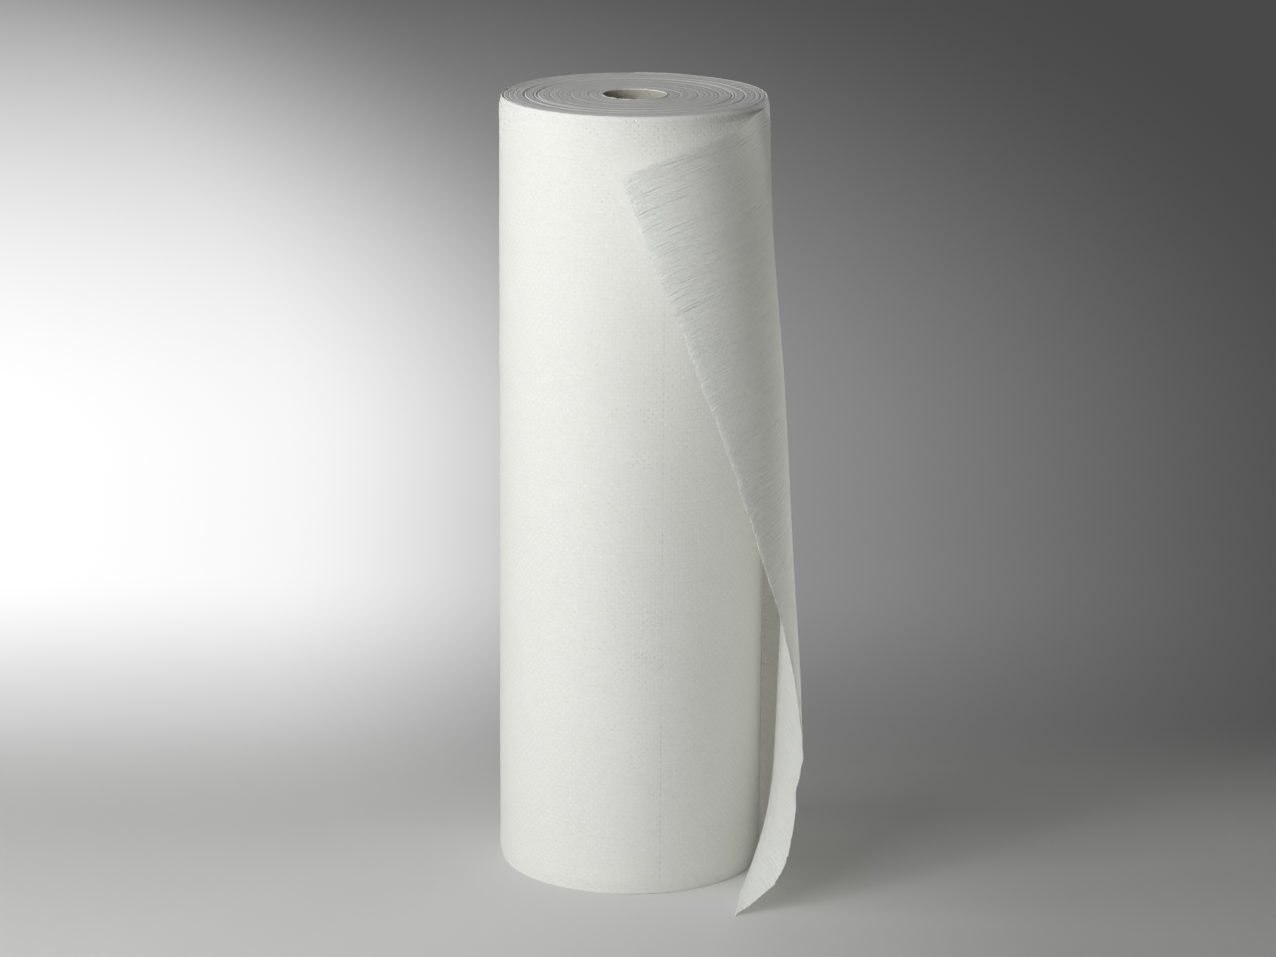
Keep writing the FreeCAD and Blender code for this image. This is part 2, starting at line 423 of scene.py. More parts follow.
@dataclass
class Effects:
    """Builds the shared node groups and places them in materials.

    Sizes and depths of dimples are how much they vary and the least of them, as shares of
    the finish's own. A detail is the octaves of a noise and their roughness, and the cuts'
    wobble is the scale of a noise and its strength.
    """

    dimple_edge: float = 0.2
    dimple_sizes: tuple[float, float] = (0.35, 0.8)
    dimple_depths: tuple[float, float] = (0.35, 0.65)
    second_lattice: float = 34.0
    crepe_drift: float = 60.0
    crepe_detail: tuple[float, float] = (2.0, 0.55)
    cut_core: float = 0.3
    cut_wobble: tuple[float, float] = (260.0, 0.7)
    cut_dash: Ramp = (0.18, 0.34, 1.0, 0.3)
    cut_wear: float = 90.0
    cut_worn: Ramp = (0.35, 0.65, 0.35, 1.0)
    fibre_detail: tuple[float, float] = (4.0, 0.65)
    groups: dict[Effect, bpy.types.NodeTree] = field(default_factory=dict)

    def place(self, tree: Tree, effect: Effect, **inputs: Value) -> bpy.types.NodeSocket:
        """Put an effect in a material with its own values.

        Args:
            tree: The material's tree.
            effect: Which effect.
            **inputs: Its inputs, with underscores for spaces.

        Returns:
            The group's output.
        """
        if effect not in self.groups:
            self.groups[effect] = self.build(effect)
        node = tree.add("ShaderNodeGroup", node_tree=self.groups[effect])
        for name, value in inputs.items():
            tree.feed(node.inputs[name.replace("_", " ")], value)
        return node.outputs[0]

    def build(self, effect: Effect) -> bpy.types.NodeTree:
        """Build one group.

        Args:
            effect: Which effect.

        Returns:
            The node group.
        """
        makers = {
            Effect.DIMPLES: (self.dimples, ("Pitch", "Radius", "Wander")),
            Effect.CREPE: (self.crepe, ("Length", "Width", "Wave")),
            Effect.PERFORATION: (self.perforation, ("Repeat", "Place", "Tooth", "Width")),
            Effect.FIBRES: (self.fibres, ("Size", "Stretch")),
        }
        maker, names = makers[effect]
        group = bpy.data.node_groups.new(effect.value, "ShaderNodeTree")
        group.interface.new_socket(name="Web", in_out="INPUT", socket_type="NodeSocketVector")
        for name in names:
            group.interface.new_socket(name=name, in_out="INPUT", socket_type="NodeSocketFloat")
        group.interface.new_socket(name="Mask", in_out="OUTPUT", socket_type="NodeSocketFloat")
        tree = Tree(group)
        given = tree.add("NodeGroupInput")
        result = maker(tree, {item.name: item for item in given.outputs if item.name})
        tree.add("NodeGroupOutput", {"Mask": result})
        return group

    def dimples(self, tree: Tree, given: dict[str, bpy.types.NodeSocket]
                ) -> bpy.types.NodeSocket:
        """Round dimples on two square lattices, one in the gaps of the other.

        Args:
            tree: The group's tree.
            given: Its inputs by name.

        Returns:
            1 in the middle of a dimple and 0 between dimples.
        """
        pitch = given["Pitch"]
        scaled = tree.vector("DIVIDE", given["Web"], tree.join(pitch, pitch, 1.0))
        radius = tree.math("DIVIDE", given["Radius"], pitch)
        wander = tree.math("DIVIDE", given["Wander"], pitch)
        masks = []
        for shift in (0.0, 0.5):
            place = tree.vector("ADD", scaled, (shift, shift, 0.0))
            cell = tree.vector("ADD", tree.vector("FLOOR", place),
                               (shift * self.second_lattice, 0.0, 0.0))
            chance = tree.add("ShaderNodeTexWhiteNoise", {"Vector": cell})
            jump = tree.vector("SUBTRACT", chance.outputs["Color"], (0.5, 0.5, 0.5))
            middle = tree.vector("ADD", tree.shade(jump, wander), (0.5, 0.5, 0.0))
            away = tree.vector("SUBTRACT", tree.vector("FRACTION", place), middle)
            flat = tree.vector("MULTIPLY", away, (1.0, 1.0, 0.0))
            size, deep = (tree.math("MULTIPLY_ADD", chance.outputs["Value"], *spread)
                          for spread in (self.dimple_sizes, self.dimple_depths))
            reach = tree.math("DIVIDE", tree.vector("LENGTH", flat),
                              tree.math("MULTIPLY", radius, size))
            masks.append(tree.ease(reach, self.dimple_edge, 1.0, deep, 0.0))
        return tree.math("MAXIMUM", *masks)

    def crepe(self, tree: Tree, given: dict[str, bpy.types.NodeSocket]
              ) -> bpy.types.NodeSocket:
        """Fine streaks that run along the web, as its crepe leaves them.

        Args:
            tree: The group's tree.
            given: Its inputs by name.

        Returns:
            The height of the streaks, about 0.5 on average.
        """
        bend = tree.noise(given["Web"], self.crepe_drift, 1.0)
        drift = tree.math("MULTIPLY", tree.math("SUBTRACT", bend, 0.5), given["Wave"])
        place = tree.vector("DIVIDE", tree.vector("ADD", given["Web"], tree.join(0.0, drift, 0.0)),
                            tree.join(given["Length"], given["Width"], 1.0))
        return tree.noise(place, 1.0, *self.crepe_detail)

    def perforation(self, tree: Tree, given: dict[str, bpy.types.NodeSocket]
                    ) -> bpy.types.NodeSocket:
        """A line of short cuts straight across the web, once in every sheet's length.

        Args:
            tree: The group's tree.
            given: Its inputs by name.

        Returns:
            1 inside a cut and 0 elsewhere.
        """
        along, across = tree.split(given["Web"])[:2]
        nearest = tree.math("PINGPONG", tree.math("SUBTRACT", along, given["Place"]),
                            tree.math("MULTIPLY", given["Repeat"], 0.5))
        line = tree.ease(nearest, tree.math("MULTIPLY", given["Width"], self.cut_core),
                         given["Width"], 1.0, 0.0)
        scale, strength = self.cut_wobble
        wobble = tree.math("MULTIPLY", tree.noise(given["Web"], scale, 1.0), strength)
        step = tree.math("ADD", tree.math("DIVIDE", across, given["Tooth"]), wobble)
        dash = tree.ease(tree.math("PINGPONG", step, 0.5), *self.cut_dash)
        worn = tree.ease(tree.noise(given["Web"], self.cut_wear, 1.0), *self.cut_worn)
        return tree.product(line, dash, worn)

    def fibres(self, tree: Tree, given: dict[str, bpy.types.NodeSocket]
               ) -> bpy.types.NodeSocket:
        """Cloudy fibres of pulp, a little longer along the web.

        Args:
            tree: The group's tree.
            given: Its inputs by name.

        Returns:
            The density of the fibres, about 0.5 on average.
        """
        size = given["Size"]
        stretch = tree.join(tree.math("MULTIPLY", size, given["Stretch"]), size, size)
        return tree.noise(tree.vector("DIVIDE", given["Web"], stretch), 1.0, *self.fibre_detail)


# ---------------------------------------------------------------- finishes

def new_material(name: str) -> tuple[bpy.types.Material, Tree]:
    """Make an empty node material.

    Args:
        name: Its name.

    Returns:
        The material and its tree.
    """
    material = bpy.data.materials.new(name)
    material.use_nodes = True
    material.node_tree.nodes.clear()
    return material, Tree(material.node_tree)


def close_material(tree: Tree, colour: Value, roughness: Value, height: Value,
                   specular: float = 0.25, thin: float = 0.0,
                   stain: Colour = (1.0, 1.0, 1.0)) -> None:
    """End a material in a Principled BSDF, with its relief in millimetres.

    Args:
        tree: The material's tree.
        colour: Base colour.
        roughness: Roughness.
        height: Height of the relief in millimetres.
        specular: Level of the specular part.
        thin: Share of the light that goes through a thin sheet, of which a face dims
            light once, on its way in.
        stain: What the sheet does to the colour of the light that goes through it.
    """
    bump = tree.add("ShaderNodeBump", {"Strength": 1.0, "Distance": MM, "Height": height})
    surface = tree.add("ShaderNodeBsdfPrincipled",
                       {"Base Color": colour, "Roughness": roughness,
                        "Specular IOR Level": specular, "Normal": bump.outputs[0]})
    shown = surface.outputs[0]
    if thin:
        stained = tree.vector("MULTIPLY", colour, stain)
        through = tree.add("ShaderNodeBsdfTranslucent", {"Color": stained,
                                                         "Normal": bump.outputs[0]})
        inside = tree.add("ShaderNodeNewGeometry").outputs["Backfacing"]
        clear = tree.add("ShaderNodeBsdfTransparent").outputs[0]
        shown = tree.mix(inside, tree.mix(thin, shown, through.outputs[0]), clear)
    tree.add("ShaderNodeOutputMaterial", {"Surface": shown})


class Face(Enum):
    """The two faces of the tissue: dimples sink into the outer one and stand on the inner."""

    OUTER = -1.0
    INNER = 1.0


@dataclass(frozen=True)
class Tissue:
    """Creped, dot-embossed tissue.

    Depths are in millimetres, tones and the dimples' painted highlight are factors of the
    colour, and thin is the share of light that the sheet lets through.
    """

    face: Face
    colour: Colour = (0.86, 0.865, 0.825)
    roughness: float = 0.92
    dimple_pitch: float = 5.0 * MM
    dimple_radius: float = 0.85 * MM
    dimple_wander: float = 0.15 * MM
    dimple_depth: float = 0.34
    # Painted highlight: how much brighter the colour is painted in the middle of a dimple.
    dimple_painted_highlight: float = 1.08
    dimple_full: float = 0.45
    crepe_length: float = 26.0 * MM
    crepe_width: float = 1.3 * MM
    crepe_wave: float = 0.3 * MM
    crepe_depth: float = 0.30
    crush: Grain = (7.0 * MM, 1.8)
    crush_depth: float = 0.25
    crushed: Ramp = (0.35, 0.75, 1.0, 0.6)
    wear: Grain = (24.0 * MM, 1.3)
    worn: Ramp = (0.38, 0.58, 0.45, 1.0)
    fibre: Grain = (1.4 * MM, 2.0)
    fibre_depth: float = 0.03
    fibre_tone: Ramp = (0.2, 0.8, 0.965, 1.03)
    thin: float = 0.0
    stain: Colour = (1.0, 0.99, 0.89)
    sheet_length: float = 380.0 * MM
    first_cut: float = -286.3 * MM
    cut_pitch: float = 4.5 * MM
    cut_width: float = 0.28 * MM
    cut_depth: float = 0.16
    cut_tone: float = 0.80

    def material(self, effects: Effects) -> bpy.types.Material:
        """Build the tissue's material.

        Args:
            effects: The shared node groups.

        Returns:
            The material.
        """
        layer = "sheet" if self.thin else "roll"
        material, tree = new_material(f"tissue_{layer}_{self.face.name.lower()}")
        web = tree.web()
        dimples = effects.place(tree, Effect.DIMPLES, Web=web, Pitch=self.dimple_pitch,
                                Radius=self.dimple_radius, Wander=self.dimple_wander)
        crepe = effects.place(tree, Effect.CREPE, Web=web, Length=self.crepe_length,
                              Width=self.crepe_width, Wave=self.crepe_wave)
        crush, fibres, wear = (
            effects.place(tree, Effect.FIBRES, Web=web, Size=size, Stretch=stretch)
            for size, stretch in (self.crush, self.fibre, self.wear))
        cuts = effects.place(tree, Effect.PERFORATION, Web=web, Repeat=self.sheet_length,
                             Place=self.first_cut, Tooth=self.cut_pitch, Width=self.cut_width)
        pressed = tree.product(dimples, tree.ease(crush, *self.crushed),
                               tree.ease(wear, *self.worn))
        height = tree.relief(
            (pressed, self.face.value * self.dimple_depth), (crepe, self.crepe_depth),
            (crush, self.crush_depth), (fibres, self.fibre_depth), (cuts, -self.cut_depth))
        # Tone: the fibres vary at random, the cuts are darker, and the dimples are painted
        # brighter as a painted highlight for the light their sides catch.
        tone = tree.product(
            tree.ease(fibres, *self.fibre_tone),
            tree.ease(dimples, 0.0, self.dimple_full, 1.0, self.dimple_painted_highlight),
            tree.ease(cuts, 0.0, 1.0, 1.0, self.cut_tone))
        close_material(tree, tree.shade(self.colour, tone), self.roughness, height,
                       thin=self.thin, stain=self.stain)
        return material


@dataclass(frozen=True)
class EndGrain:
    """The ends of the roll, where every turn of the web shows its cut edge.

    Depths are in millimetres, and tones are factors of the colour.
    """

    colour: Colour = (0.95, 0.95, 0.93)
    roughness: float = 0.95
    specular: float = 0.2
    layer: float = 0.28 * MM
    layer_depth: float = 0.04
    band_length: float = 40.0 * MM
    band_width: float = 1.1 * MM
    band_depth: float = 0.08
    band_tone: Ramp = (0.25, 0.7, 0.96, 1.02)
    fine_length: float = 16.0 * MM
    fine_depth: float = 0.07
    fine_tone: Ramp = (0.2, 0.8, 0.92, 1.05)
    fuzz: Grain = (1.6 * MM, 2.0)
    fuzz_depth: float = 0.18
    fuzz_tone: Ramp = (0.3, 0.7, 0.95, 1.04)

    def material(self, effects: Effects) -> bpy.types.Material:
        """Build the material of the roll's ends.

        Args:
            effects: The shared node groups.

        Returns:
            The material.
        """
        material, tree = new_material("tissue_edges")
        web = tree.web()
        band, fine = (
            effects.place(tree, Effect.CREPE, Web=web, Length=length, Width=width, Wave=0.0)
            for length, width in ((self.band_length, self.band_width),
                                  (self.fine_length, self.layer)))
        size, stretch = self.fuzz
        fuzz = effects.place(tree, Effect.FIBRES, Web=web, Size=size, Stretch=stretch)
        layers = tree.math("PINGPONG", tree.math("DIVIDE", tree.split(web)[1], self.layer), 0.5)
        height = tree.relief((band, self.band_depth), (fine, self.fine_depth),
                             (layers, self.layer_depth), (fuzz, self.fuzz_depth))
        tone = tree.product(tree.ease(band, *self.band_tone), tree.ease(fine, *self.fine_tone),
                            tree.ease(fuzz, *self.fuzz_tone))
        close_material(tree, tree.shade(self.colour, tone), self.roughness, height,
                       self.specular)
        return material


class Board(Enum):
    """The two sorts of board of the core."""

    WALL = "core_board"
    LINING = "core_lining"


@dataclass(frozen=True)
class CoreBoard:
    """Spiral-wound grey board, or the paler torn lining at its rim.

    Depths are in millimetres, and tones are factors of the colour.
    """

    board: Board
    colour: Colour
    roughness: float = 0.9
    bore: float = 20.0 * MM
    strip_width: float = 75.0 * MM
    turn_height: float = 92.0 * MM
    seam: Ramp = (0.2 * MM, 0.7 * MM, 1.0, 0.0)
    seam_depth: float = 0.08
    seam_tone: float = 0.85
    fibre: Grain = (1.2 * MM, 2.5)
    fibre_depth: float = 0.12
    fibre_tone: Ramp = (0.2, 0.8, 0.86, 1.10)
    cloud: Grain = (12.0 * MM, 1.5)
    cloud_tone: Ramp = (0.2, 0.8, 0.93, 1.06)

    def material(self, effects: Effects) -> bpy.types.Material:
        """Build the board's material.

        Args:
            effects: The shared node groups.

        Returns:
            The material.
        """
        material, tree = new_material(self.board.value)
        web = tree.web()
        fibres, cloud = (
            effects.place(tree, Effect.FIBRES, Web=web, Size=size, Stretch=stretch)
            for size, stretch in (self.fibre, self.cloud))
        round_core, down = tree.split(web)[:2]
        climb = tree.math("MULTIPLY", round_core, self.turn_height / (math.tau * self.bore))
        from_seam = tree.math("PINGPONG", tree.math("ADD", down, climb), self.strip_width / 2)
        gap = tree.ease(from_seam, *self.seam)
        tone = tree.product(tree.ease(fibres, *self.fibre_tone),
                            tree.ease(cloud, *self.cloud_tone),
                            tree.ease(gap, 0.0, 1.0, 1.0, self.seam_tone))
        height = tree.relief((fibres, self.fibre_depth), (gap, -self.seam_depth))
        close_material(tree, tree.shade(self.colour, tone), self.roughness, height)
        return material


# ---------------------------------------------------------------- the web and its roll

@dataclass(frozen=True)
class Web:
    """The strip of tissue and the roll that it is wound into."""

    width: float
    core_radius: float
    thickness: float = 0.4 * MM
    slit: float = 0.3 * MM
    roll_radius: float = 85.0 * MM

    @property
    def pitch(self) -> float:
        """How much a turn adds to the roll's radius."""
        return self.thickness + self.slit

    def wound_radius(self, turned: np.ndarray) -> np.ndarray:
        """Radius of the outermost wound turn.

        Args:
            turned: Angle from the back, round by the right.

        Returns:
            The radius at each angle.
        """
        return self.roll_radius - self.pitch * (1 - turned / math.tau)


def around(radius: np.ndarray, turned: np.ndarray, height: np.ndarray) -> np.ndarray:
    """Points at a radius and an angle, which runs from the back round by the right.

    Args:
        radius: Distances from the roll's axis.
        turned: The angles.
        height: Heights above the floor.

    Returns:
        The points, one more dimension than the arguments.
    """
    return np.stack(np.broadcast_arrays(radius * np.sin(turned), radius * np.cos(turned),
                                        height), axis=-1)


@dataclass
class Rim:
    """How the wound paper draws in towards its two ends."""

    inset: float = 1.2 * MM
    reach: float = 8.0 * MM
    round_over: float = 0.9 * MM
    roundness: float = 0.6

    def drawn_in(self, from_end: np.ndarray) -> np.ndarray:
        """How far the wall lies inside its full radius.

        Args:
            from_end: Distances from the nearer end of the roll.

        Returns:
            The inset at each distance.
        """
        taper = self.inset * (1 - smooth_step(0, self.reach, from_end))
        close = np.clip(from_end / self.round_over, 0, 1)
        rounded = self.round_over * (1 - np.sqrt(1 - (1 - close) ** 2))
        return taper + rounded * self.roundness


@dataclass
class WoundRoll:
    """The wound paper: its wall, and the spiral of cut edges at either end.

    Each groove in an end is a radius, a width and a depth, and the rows next to an end are
    distances from it, all in millimetres.
    """

    web: Web
    rim: Rim = field(default_factory=Rim)
    columns: int = 192
    end_rows: tuple[float, ...] = (0, 0.1, 0.25, 0.5, 0.9, 1.5, 2.5, 4, 6, 8.5, 12)
    middle_rows: int = 44
    first_middle_row: float = 18.0 * MM
    uneven: float = 0.12 * MM
    uneven_lengths: tuple[float, ...] = (110.0 * MM, 40.0 * MM)
    swell: float = 0.10 * MM
    even_ends: float = 20.0 * MM
    grooves: tuple[tuple[float, float, float], ...] = (
        (28.5, 0.8, 0.2), (40.0, 0.8, 0.15), (53.0, 0.8, 0.2), (60.8, 1.1, 0.5),
        (63.0, 0.8, 0.25), (69.0, 1.1, 0.5), (76.5, 0.8, 0.25), (80.0, 0.8, 0.2))
    groove_edge: tuple[float, float] = (0.25, 0.75)
    ledge: float = 0.07 * MM
    ledge_turns: tuple[float, ...] = (2.3, 5.1, 11.0)
    valley: float = 0.06 * MM
    last_gap: tuple[float, float, float] = (1.1 * MM, 0.45 * MM, 0.35 * MM)
    rim_starts: float = 70.0 * MM
    lip: float = 0.95 * MM
    lip_drop: float = 0.8 * MM

    def build(self) -> bpy.types.Object:
        """Build the piece.

        Returns:
            The wound paper.
        """
        return patch_mesh("wound_paper", [self.wall(), self.end(True), self.end(False)])

    def heights(self) -> np.ndarray:
        """Set out the wall's rows, close together near the ends.

        Returns:
            Their heights, from the floor up.
        """
        width, close = self.web.width, np.array(self.end_rows) * MM
        middle = np.linspace(self.first_middle_row, width - self.first_middle_row,
                             self.middle_rows)
        return np.concatenate([close, middle, width - close[::-1]])

    def wall_radius(self, turned: np.ndarray, height: np.ndarray) -> np.ndarray:
        """Radius of the wall, with the slight unevenness of wound tissue.

        Args:
            turned: Angles from the back, round by the right.
            height: Heights above the floor.

        Returns:
            The radius at each place.
        """
        from_end = np.minimum(height, self.web.width - height)
        uneven = ripple(height, self.uneven_lengths, seed=3) * self.uneven
        swell = np.sin(2 * turned + 1.0) * self.swell * np.sin(turned / 2) ** 2
        fade = smooth_step(0, self.even_ends, from_end)
        return self.web.wound_radius(turned) - self.rim.drawn_in(from_end) + (
            uneven + swell) * fade

    def wall(self) -> Patch:
        """Build the outside of the wound paper.

        Returns:
            The wall's grid, from the back round by the right.
        """
        turned = np.linspace(0, math.tau, self.columns + 1)[None, :]
        height = self.heights()[:, None]
        points = around(self.wall_radius(turned, height), turned, height)
        along = self.web.roll_radius * (turned - math.tau)
        return Patch(points, np.stack(np.broadcast_arrays(along, height), axis=-1))

    def end_height(self, radius: np.ndarray, wound: np.ndarray,
                   outer: np.ndarray) -> np.ndarray:
        """How far the cut edges stand in from the end of the roll.

        Args:
            radius: Distances from the axis.
            wound: Angles wound since the core.
            outer: Radius of the outermost turn at each angle.

        Returns:
            The depth below the end, at each place.
        """
        depth = self.ledge * (1 + ripple(wound / math.tau, self.ledge_turns, seed=8))
        for middle, width, sunk in self.grooves:
            near = 1 - smooth_step(*self.groove_edge, np.abs(radius / MM - middle) / width)
            depth = depth + near * sunk * MM
        behind, sunk, spread = self.last_gap
        return depth + sunk * np.exp(-((outer - radius - behind) / spread) ** 2)

    def end(self, top: bool) -> Patch:
        """One end of the roll, as a spiral of ridges with a valley between turns.

        Args:
            top: Whether it is the upper end.

        Returns:
            The end's grid, with two rows for each turn.
        """
        web = self.web
        turned = np.linspace(0, math.tau, self.columns + 1)
        outer = web.wound_radius(turned)
        mouth = web.core_radius - self.lip
        turns = math.ceil((web.roll_radius - mouth) / web.pitch) + 1
        row = np.arange(2 * turns + 1)
        radius = outer[None, :] - 0.5 * web.pitch * row[:, None]
        wound = turned[None, :] - math.pi * row[:, None]
        clamped = np.maximum(radius, mouth)
        sunk = self.end_height(clamped, wound, outer[None, :])
        sunk = sunk + np.where(row % 2 == 1, self.valley, 0.0)[:, None]
        sunk[0] = 0.0
        sunk[-1] = self.lip_drop
        drawn = clamped - self.rim.drawn_in(np.zeros(1)) * smooth_step(
            self.rim_starts, web.roll_radius, clamped)
        drawn[0] = self.wall_radius(turned, np.array(0.0))
        height = web.width - sunk if top else sunk
        points = around(drawn, turned[None, :], height)
        along = clamped * turned[None, :]
        return Patch(points, np.stack(np.broadcast_arrays(along, clamped), axis=-1), 1,
                     flip=not top)


# ---------------------------------------------------------------- the loose turn

@dataclass(frozen=True)
class Tear:
    """The torn edge that ends the web.

    Each nick and each curl is a height on the web, a size and a spread, in millimetres: a
    nick shortens the web, and a curl bends its last stretch outwards. The tuck bends the
    upper part of the free end towards the roll, and the feather is how far the sheet thins
    out, between the two shares of it in feathered.
    """

    tooth: float = 0.9 * MM
    tooth_lengths: tuple[float, ...] = (5.3 * MM, 2.4 * MM)
    wave: float = 0.25 * MM
    wave_lengths: tuple[float, ...] = (31.0 * MM, 13.0 * MM)
    fray: float = 0.12 * MM
    fray_lengths: tuple[float, ...] = (1.3 * MM,)
    nicks: tuple[tuple[float, float, float], ...] = (
        (403, 1.2, 9), (362, -0.9, 18), (303, 1.0, 5), (272, 0.9, 10), (262, 1.0, 1.5),
        (236, -0.8, 7), (196, -0.6, 8), (205, 0.9, 1.2), (118, -0.8, 4), (96, 1.5, 5),
        (79, 0.9, 1.6), (49, 0.9, 2.0), (30, -0.8, 5))
    curls: tuple[tuple[float, float, float], ...] = (
        (128, 0.9, 10), (116, 1.2, 5), (93, -1.5, 8), (50, 0.9, 6), (35, 1.4, 14),
        (2, -1.6, 4))
    curl_reach: float = 22.0 * MM
    tuck: float = 3.2 * MM
    tuck_reach: float = 44.0 * MM
    tuck_start: tuple[float, float] = (180.0 * MM, 300.0 * MM)
    feather: float = 0.45 * MM
    feathered: tuple[float, float] = (-0.3, 0.9)

    def curl(self, height: np.ndarray, from_tear: np.ndarray) -> np.ndarray:
        """How far the last stretch of the web bends outwards.

        Args:
            height: Heights on the web.
            from_tear: Distances from the tear.

        Returns:
            The distance outwards at each place.
        """
        bent = sum(size * MM * np.exp(-((height / MM - place) / spread) ** 2)
                   for place, size, spread in self.curls)
        near = np.clip(1 - from_tear / self.tuck_reach, 0, None)
        tucked = self.tuck * smooth_step(*self.tuck_start, height) * near ** 2
        return bent * (1 - smooth_step(0, self.curl_reach, from_tear)) - tucked

    def bite(self, height: np.ndarray) -> np.ndarray:
        """How far the tear lies from its straight line, at heights on the web.

        Args:
            height: Heights on the web.

        Returns:
            The distance beyond the line, negative where the web is shorter.
        """
        edge = self.tooth * (np.abs(ripple(height, self.tooth_lengths, seed=21)) - 0.5)
        edge = edge + self.wave * ripple(height, self.wave_lengths, seed=5)
        edge = edge + self.fray * ripple(height, self.fray_lengths, seed=9)
        for place, depth, spread in self.nicks:
            edge = edge - depth * MM * np.exp(-((height / MM - place) / spread) ** 2)
        return edge


@dataclass
class LooseTurn:
    """The outermost turn, which leaves the roll at the back and ends at the tear.

    It stands off the roll by a table in millimetres: one row for each share of its length,
    one number for each level above the floor.
    """

    web: Web
    tear: Tear = field(default_factory=Tear)
    length_at_bottom: float = 269.0 * MM
    length_at_top: float = 308.2 * MM
    levels: tuple[float, ...] = (0, 40, 100, 200, 340, 500)
    stand_offs: dict[float, tuple[float, ...]] = field(default_factory=lambda: {
        0.0: (0, 0, 0, 0, 0, 0), 0.2: (11, 11, 7, 11, 13, 2), 0.4: (8, 13, 21, 19, 7, 0),
        0.6: (0, 7, 10, 13, 13, 4), 0.8: (14, 24, 35, 41, 39, 28),
        1.0: (54, 68, 76, 75, 58, 34)})
    held: tuple[float, float] = (125.0 * MM, 185.0 * MM)
    slip: float = 2.5 * MM
    slip_place: float = 125.0 * MM
    slip_spread: float = 35.0 * MM
    slip_grows: tuple[float, float] = (0.3, 1.0)
    bite_starts: float = 0.9
    steps_along: int = 68
    steps_across: int = 700
    rim: Rim = field(default_factory=Rim)
    passes: int = 4

    def build(self) -> bpy.types.Object:
        """Build the piece.

        Returns:
            The loose turn.
        """
        inner, web = self.inner_face()
        from_tear = web[-1, :, 0][None, :] - web[..., 0]
        inner = inner + self.outward(inner) * self.tear.curl(web[..., 1], from_tear)[..., None]
        share = (self.tear.feather / from_tear[-2])[:, None]
        inner, web = (np.insert(grid, -1, grid[-1] + (grid[-2] - grid[-1]) * share, axis=0)
                      for grid in (inner, web))
        outer = inner + self.outward(inner) * self.thickness(web)[..., None]
        patches = [Patch(outer, web, 0, flip=True), Patch(inner, web, 1)]
        for edge, flip in ((np.s_[:, 0], True), (np.s_[:, -1], False), (np.s_[-1, :], True)):
            points = np.stack([outer[edge], inner[edge]])
            patches.append(Patch(points, np.stack([web[edge]] * 2), 0, flip))
        return patch_mesh("loose_turn", patches)

    def thickness(self, web: np.ndarray) -> np.ndarray:
        """Thin the sheet out where it is torn.

        Args:
            web: The web's coordinates.

        Returns:
            The thickness at each place.
        """
        feathers = (web[-1, :, 0][None, :] - web[..., 0]) / self.tear.feather
        return self.web.thickness * smooth_step(*self.tear.feathered, feathers)

    def stand_off(self, share: np.ndarray, height: np.ndarray) -> np.ndarray:
        """How far the sheet stands off the roll.

        Args:
            share: Places along the turn, as shares of its length.
            height: Heights on the web.

        Returns:
            The stand-off, one row for each share.
        """
        table = np.array(list(self.stand_offs.values()), float).T * MM
        across = spline(np.array(self.levels) * MM, table, height)
        return spline(list(self.stand_offs), across.T, share, flat_start=True)

    def laid_out(self) -> tuple[np.ndarray, np.ndarray, np.ndarray]:
        """Bend the flat sheet round the roll: threads both ways keep their length.

        Returns:
            The inner face's points, the shares along and the heights on the web.
        """
        share = np.linspace(0, 1, self.steps_along + 1)
        height = np.linspace(0, self.web.width, self.steps_across + 1)
        length = self.length_at(height)
        step = length / self.steps_along
        rise = height[1]
        gap = self.stand_off(share, height)
        gap_along = np.gradient(gap, axis=0) / step
        gap_across = np.gradient(gap, rise, axis=1)
        turned = share[:, None] * length / self.web.roll_radius
        level = np.tile(height, (len(share), 1))
        for _ in range(self.passes):
            radius = self.web.wound_radius(turned) + self.web.slit + gap
            lean = np.gradient(level, axis=0) / step
            turning = rest_of_unit(gap_along, lean) / radius
            turned = run_up(turning.T, step[:, None]).T
            skew = np.gradient(turned, rise, axis=1) * radius
            level = run_up(rest_of_unit(gap_across, skew), rise)
        return around(radius, turned, level), share, height

    def length_at(self, height: np.ndarray) -> np.ndarray:
        """Length of the loose turn at heights on the web."""
        grown = self.length_at_top - self.length_at_bottom
        return self.length_at_bottom + grown * height / self.web.width

    def inner_face(self) -> tuple[np.ndarray, np.ndarray]:
        """The inner face, with its end cut to the tear.

        Returns:
            The points, and the web's coordinates at each.
        """
        points, share, height = self.laid_out()
        length = self.length_at(height)
        bite = self.tear.bite(height)
        bitten = smooth_step(self.bite_starts, 1.0, share)[:, None]
        fray = share[:, None] * length + bite * bitten
        half_step = points[-1] + (points[-1] - points[-2]) / 2
        longer = np.concatenate([points, half_step[None]])
        places = np.append(share, 1 + 0.5 / self.steps_along)
        cut = np.empty_like(points)
        for column in range(len(height)):
            for axis in range(3):
                cut[:, column, axis] = np.interp(fray[:, column], places * length[column],
                                                 longer[:, column, axis])
        web = np.stack(np.broadcast_arrays(fray, height[None, :]), axis=-1)
        return self.near_seam(cut, web), web

    def near_seam(self, points: np.ndarray, web: np.ndarray) -> np.ndarray:
        """Let the sheet follow the roll's drawn-in rims, and slip down where it lies slack.

        Args:
            points: Points of the sheet.
            web: The web's coordinates at each.

        Returns:
            The points, drawn in and slipped.
        """
        along, height = web[..., 0], web[..., 1]
        from_end = np.minimum(height, self.web.width - height)
        held = 1 - smooth_step(*self.held, along)
        inset = self.rim.drawn_in(from_end) * held
        flat = points[..., :2] / np.linalg.norm(points[..., :2], axis=-1, keepdims=True)
        points[..., :2] -= flat * inset[..., None]
        slack = np.exp(-((along - self.slip_place) / self.slip_spread) ** 2)
        grown = smooth_step(*self.slip_grows, height / self.web.width)
        points[..., 2] -= self.slip * slack * grown
        return points

